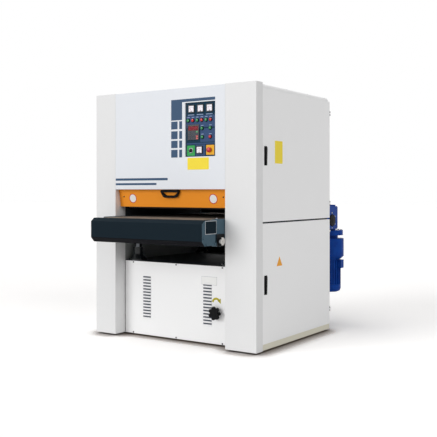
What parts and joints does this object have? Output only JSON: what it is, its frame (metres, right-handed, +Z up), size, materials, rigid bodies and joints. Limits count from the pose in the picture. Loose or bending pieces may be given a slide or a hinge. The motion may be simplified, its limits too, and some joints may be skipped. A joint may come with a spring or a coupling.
{
  "type": "wood sanding machine",
  "caption": "Wide-belt wood sanding machine: sanding heads over a rising feed table, hinged side doors, front controls, infeed flap and a rear feed drive.",
  "frame": {"origin": "on the floor, under the middle of the machine's overall box", "axes": "+X to the right seen from the infeed side, +Y with the feed from infeed to outfeed, +Z up"},
  "size_m": [1.6168, 1.945, 2.04],
  "materials": {
    "base_paint": "satin",
    "frame_paint": "satin",
    "column_paint": "satin",
    "cover_paint": "satin",
    "panel_paint": "satin",
    "lower_panel_paint": "satin",
    "bright_steel": "brushed",
    "foot_iron": "rough",
    "black_plastic": "matte",
    "control_blue": "satin",
    "instrument_black": "gloss",
    "button_green": "gloss",
    "button_red": "gloss",
    "flap_orange": "satin",
    "table_paint": "satin",
    "guard_paint": "satin",
    "bed_steel": "ground",
    "feed_belt_rubber": "matte",
    "drive_blue": "satin",
    "ram_chrome": "polished",
    "column_iron": "painted dark",
    "drum_rubber": "matte",
    "roller_aluminium": "turned",
    "abrasive_cloth": "matte",
    "v_belt_rubber": "matte",
    "pulley_iron": "machined"
  },
  "bodies": {
    "cabinet": {"base_frame": "base_paint", "side_frames": "frame_paint", "front_column_left": "column_paint", "front_column_right": "column_paint", "roof_cover": "cover_paint", "rear_cover_upper": "cover_paint", "rear_cover_lower": "cover_paint", "front_panel_upper": "panel_paint", "front_panel_lower": "lower_panel_paint", "hinge_brackets": "bright_steel", "levelling_feet": "foot_iron", "cover_left_lower": "cover_paint", "control_plate": "control_blue", "panel_instruments": "instrument_black", "lift_columns": "column_iron", "sanding_belts": "abrasive_cloth", "head_beams": "frame_paint", "v_belts": "v_belt_rubber", "main_motors": "drive_blue"},
    "flap": {"feed_flap": "flap_orange", "flap_handle": "black_plastic"},
    "table": {"table_frame": "table_paint", "bed_plate": "bed_steel", "conveyor_belt": "feed_belt_rubber", "front_guard": "guard_paint", "feed_gearbox": "drive_blue", "feed_motor": "drive_blue", "lift_screws": "ram_chrome"},
    "door_right_upper": {"door_right_upper": "cover_paint"},
    "door_right_lower": {"door_right_lower": "cover_paint"},
    "door_left_upper": {"door_left_upper": "cover_paint"},
    "latch_right_upper": {"latch_right_upper": "black_plastic"},
    "latch_right_lower": {"latch_right_lower": "black_plastic"},
    "latch_left_upper": {"latch_left_upper": "black_plastic"},
    "button_1": {"button_1": "button_green"},
    "button_2": {"button_2": "button_red"},
    "button_3": {"button_3": "button_green"},
    "button_4": {"button_4": "button_red"},
    "button_5": {"button_5": "button_green"},
    "button_6": {"button_6": "button_red"},
    "button_7": {"button_7": "button_green"},
    "button_8": {"button_8": "button_green"},
    "button_9": {"button_9": "button_green"},
    "button_10": {"button_10": "button_red"},
    "selector_knob": {"selector_knob": "black_plastic"},
    "stop_button": {"stop_button": "button_red"},
    "drive_roller": {"drive_roller": "bright_steel"},
    "idler_roller": {"idler_roller": "bright_steel"},
    "contact_drum_1": {"contact_drum_1": "drum_rubber"},
    "contact_drum_2": {"contact_drum_2": "drum_rubber"},
    "contact_drum_3": {"contact_drum_3": "drum_rubber"},
    "tension_roller_1": {"tension_roller_1": "roller_aluminium"},
    "tension_roller_2": {"tension_roller_2": "roller_aluminium"},
    "tension_roller_3": {"tension_roller_3": "roller_aluminium"},
    "motor_pulley_1": {"motor_pulley_1": "pulley_iron"},
    "motor_pulley_2": {"motor_pulley_2": "pulley_iron"},
    "motor_pulley_3": {"motor_pulley_3": "pulley_iron"},
    "tension_handwheel": {"tension_handwheel": "black_plastic"},
    "pressure_roller_front": {"pressure_roller_front": "drum_rubber"},
    "pressure_roller_rear": {"pressure_roller_rear": "drum_rubber"}
  },
  "joints": [
    {"name": "door_right_upper_hinge", "type": "hinge", "parent": "cabinet", "child": "door_right_upper", "pos_m": [0.797, 0.5775, 1.507], "axis": [0, 0, 1], "range_deg": [0, 110]},
    {"name": "door_right_lower_hinge", "type": "hinge", "parent": "cabinet", "child": "door_right_lower", "pos_m": [0.797, 0.5775, 0.53], "axis": [0, 0, 1], "range_deg": [0, 110]},
    {"name": "door_left_upper_hinge", "type": "hinge", "parent": "cabinet", "child": "door_left_upper", "pos_m": [-0.797, 0.5775, 1.507], "axis": [0, 0, -1], "range_deg": [0, 110]},
    {"name": "latch_right_upper_turn", "type": "hinge", "parent": "door_right_upper", "child": "latch_right_upper", "pos_m": [0.8004, -0.5305, 1.543], "axis": [1, 0, 0], "range_deg": [0, 90]},
    {"name": "latch_right_lower_turn", "type": "hinge", "parent": "door_right_lower", "child": "latch_right_lower", "pos_m": [0.8004, -0.5305, 0.563], "axis": [1, 0, 0], "range_deg": [0, 90]},
    {"name": "latch_left_upper_turn", "type": "hinge", "parent": "door_left_upper", "child": "latch_left_upper", "pos_m": [-0.8004, -0.5305, 1.543], "axis": [1, 0, 0], "range_deg": [0, 90]},
    {"name": "button_1_press", "type": "slide", "parent": "cabinet", "child": "button_1", "axis": [0, 1, 0], "range_m": [0, 0.003], "stiffness_N_per_m": 400, "springref_m": -0.002},
    {"name": "button_2_press", "type": "slide", "parent": "cabinet", "child": "button_2", "axis": [0, 1, 0], "range_m": [0, 0.003], "stiffness_N_per_m": 400, "springref_m": -0.002},
    {"name": "button_3_press", "type": "slide", "parent": "cabinet", "child": "button_3", "axis": [0, 1, 0], "range_m": [0, 0.003], "stiffness_N_per_m": 400, "springref_m": -0.002},
    {"name": "button_4_press", "type": "slide", "parent": "cabinet", "child": "button_4", "axis": [0, 1, 0], "range_m": [0, 0.003], "stiffness_N_per_m": 400, "springref_m": -0.002},
    {"name": "button_5_press", "type": "slide", "parent": "cabinet", "child": "button_5", "axis": [0, 1, 0], "range_m": [0, 0.003], "stiffness_N_per_m": 400, "springref_m": -0.002},
    {"name": "button_6_press", "type": "slide", "parent": "cabinet", "child": "button_6", "axis": [0, 1, 0], "range_m": [0, 0.003], "stiffness_N_per_m": 400, "springref_m": -0.002},
    {"name": "button_7_press", "type": "slide", "parent": "cabinet", "child": "button_7", "axis": [0, 1, 0], "range_m": [0, 0.003], "stiffness_N_per_m": 400, "springref_m": -0.002},
    {"name": "button_8_press", "type": "slide", "parent": "cabinet", "child": "button_8", "axis": [0, 1, 0], "range_m": [0, 0.003], "stiffness_N_per_m": 400, "springref_m": -0.002},
    {"name": "button_9_press", "type": "slide", "parent": "cabinet", "child": "button_9", "axis": [0, 1, 0], "range_m": [0, 0.003], "stiffness_N_per_m": 400, "springref_m": -0.002},
    {"name": "button_10_press", "type": "slide", "parent": "cabinet", "child": "button_10", "axis": [0, 1, 0], "range_m": [0, 0.003], "stiffness_N_per_m": 400, "springref_m": -0.002},
    {"name": "stop_button_press", "type": "slide", "parent": "cabinet", "child": "stop_button", "axis": [0, 1, 0], "range_m": [0, 0.005], "stiffness_N_per_m": 900, "springref_m": -0.003},
    {"name": "selector_turn", "type": "hinge", "parent": "cabinet", "child": "selector_knob", "pos_m": [0.19371, -0.6715, 1.54084], "axis": [0, 1, 0], "range_deg": [-45, 45]},
    {"name": "feed_flap_swing", "type": "hinge", "parent": "cabinet", "child": "flap", "pos_m": [-0.0305, -0.6115, 1.246], "axis": [1, 0, 0], "range_deg": [0, 12], "stiffness_Nm_per_rad": 3, "springref_deg": -22.92},
    {"name": "table_lift", "type": "slide", "parent": "cabinet", "child": "table", "axis": [0, 0, 1], "range_m": [-0.04, 0.064]},
    {"name": "drive_roller_spin", "type": "hinge", "parent": "table", "child": "drive_roller", "pos_m": [0, 0.7395, 0.9576], "axis": [1, 0, 0], "continuous": true},
    {"name": "idler_roller_spin", "type": "hinge", "parent": "table", "child": "idler_roller", "pos_m": [0, -0.8665, 0.9576], "axis": [1, 0, 0], "continuous": true},
    {"name": "contact_drum_1_spin", "type": "hinge", "parent": "cabinet", "child": "contact_drum_1", "pos_m": [-0.0305, -0.3755, 1.18], "axis": [1, 0, 0], "continuous": true},
    {"name": "contact_drum_2_spin", "type": "hinge", "parent": "cabinet", "child": "contact_drum_2", "pos_m": [-0.0305, -0.0455, 1.18], "axis": [1, 0, 0], "continuous": true},
    {"name": "contact_drum_3_spin", "type": "hinge", "parent": "cabinet", "child": "contact_drum_3", "pos_m": [-0.0305, 0.2845, 1.18], "axis": [1, 0, 0], "continuous": true},
    {"name": "tension_roller_1_spin", "type": "hinge", "parent": "cabinet", "child": "tension_roller_1", "pos_m": [-0.0305, -0.3755, 1.905], "axis": [1, 0, 0], "continuous": true},
    {"name": "tension_roller_2_spin", "type": "hinge", "parent": "cabinet", "child": "tension_roller_2", "pos_m": [-0.0305, -0.0455, 1.905], "axis": [1, 0, 0], "continuous": true},
    {"name": "tension_roller_3_spin", "type": "hinge", "parent": "cabinet", "child": "tension_roller_3", "pos_m": [-0.0305, 0.2845, 1.905], "axis": [1, 0, 0], "continuous": true},
    {"name": "motor_pulley_1_spin", "type": "hinge", "parent": "cabinet", "child": "motor_pulley_1", "pos_m": [-0.0305, -0.3755, 0.3], "axis": [1, 0, 0], "continuous": true},
    {"name": "motor_pulley_2_spin", "type": "hinge", "parent": "cabinet", "child": "motor_pulley_2", "pos_m": [-0.0305, -0.0455, 0.3], "axis": [1, 0, 0], "continuous": true},
    {"name": "motor_pulley_3_spin", "type": "hinge", "parent": "cabinet", "child": "motor_pulley_3", "pos_m": [-0.0305, 0.2845, 0.3], "axis": [1, 0, 0], "continuous": true},
    {"name": "tension_handwheel_turn", "type": "hinge", "parent": "cabinet", "child": "tension_handwheel", "pos_m": [0.368, -0.5715, 0.262], "axis": [0, 1, 0], "continuous": true},
    {"name": "pressure_roller_front_spin", "type": "hinge", "parent": "cabinet", "child": "pressure_roller_front", "pos_m": [-0.0305, -0.5265, 1.1136], "axis": [1, 0, 0], "continuous": true},
    {"name": "pressure_roller_rear_spin", "type": "hinge", "parent": "cabinet", "child": "pressure_roller_rear", "pos_m": [-0.0305, 0.4385, 1.1136], "axis": [1, 0, 0], "continuous": true}
  ],
  "couplings": [
    {"joint": "idler_roller_spin", "follows": "drive_roller_spin", "ratio": 1},
    {"joint": "tension_roller_1_spin", "follows": "contact_drum_1_spin", "ratio": 1.3333},
    {"joint": "motor_pulley_1_spin", "follows": "contact_drum_1_spin", "ratio": 0.84337},
    {"joint": "tension_roller_2_spin", "follows": "contact_drum_2_spin", "ratio": 1.3333},
    {"joint": "motor_pulley_2_spin", "follows": "contact_drum_2_spin", "ratio": 0.84337},
    {"joint": "tension_roller_3_spin", "follows": "contact_drum_3_spin", "ratio": 1.3333},
    {"joint": "motor_pulley_3_spin", "follows": "contact_drum_3_spin", "ratio": 0.84337}
  ]
}
